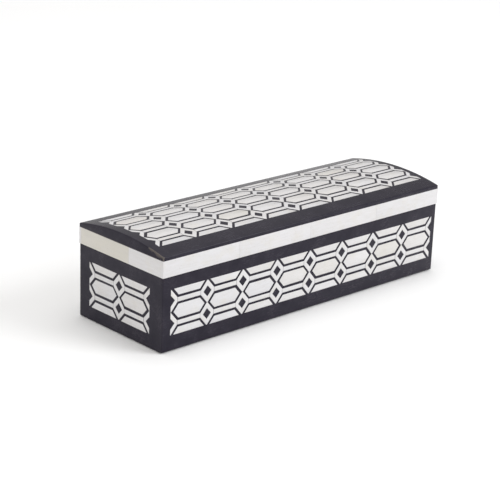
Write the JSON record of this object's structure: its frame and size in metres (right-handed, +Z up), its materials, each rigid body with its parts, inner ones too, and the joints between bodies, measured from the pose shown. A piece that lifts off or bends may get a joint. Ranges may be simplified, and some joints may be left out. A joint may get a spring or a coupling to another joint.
{
  "type": "inlaid wooden box",
  "caption": "Long rectangular box with dark sides and an arched hinged lid, inlaid with a pale lattice of hexagons and diamonds, for keeping small things.",
  "frame": {"origin": "middle of the resting face, under the felt", "axes": "+X along the box to the right end, +Y to the back where the hinges are, +Z up"},
  "size_m": [0.305, 0.1062, 0.0827],
  "materials": {
    "wood": "sanded and oiled",
    "resin": "polished dark resin filler",
    "bone": "polished bone",
    "felt": "pressed felt",
    "brass": "brushed brass"
  },
  "bodies": {
    "base": {"back_diamond_frames": "bone", "back_half_hexagon_tiles": "bone", "back_hexagon_tiles": "bone", "back_lattice_bars": "bone", "back_resin_ground": "resin", "back_wall": "wood", "floor_felt": "felt", "floor_panel": "wood", "front_diamond_frames": "bone", "front_half_hexagon_tiles": "bone", "front_hexagon_tiles": "bone", "front_lattice_bars": "bone", "front_resin_ground": "resin", "front_wall": "wood", "hinge_base_screws": "brass", "left_diamond_frames": "bone", "left_half_hexagon_tiles": "bone", "left_hexagon_tiles": "bone", "left_hinge_base_leaf": "brass", "left_hinge_pin": "brass", "left_lattice_bars": "bone", "left_resin_ground": "resin", "left_wall": "wood", "right_diamond_frames": "bone", "right_half_hexagon_tiles": "bone", "right_hexagon_tiles": "bone", "right_hinge_base_leaf": "brass", "right_hinge_pin": "brass", "right_lattice_bars": "bone", "right_resin_ground": "resin", "right_wall": "wood", "underside_felt": "felt"},
    "lid": {"hinge_lid_screws": "brass", "left_hinge_lid_leaf": "brass", "lid_arched_panel": "wood", "lid_back_bone_band": "bone", "lid_back_rail": "wood", "lid_diamond_frames": "bone", "lid_felt": "felt", "lid_front_bone_band": "bone", "lid_front_rail": "wood", "lid_half_hexagon_tiles": "bone", "lid_hexagon_tiles": "bone", "lid_lattice_bars": "bone", "lid_left_bone_band": "bone", "lid_left_rail": "wood", "lid_resin_ground": "resin", "lid_right_bone_band": "bone", "lid_right_rail": "wood", "right_hinge_lid_leaf": "brass"}
  },
  "joints": [
    {"name": "lid_hinge", "type": "hinge", "parent": "base", "child": "lid", "pos_m": [0, 0.0526, 0.06035], "axis": [-1, 0, 0], "range_deg": [0, 100]}
  ]
}
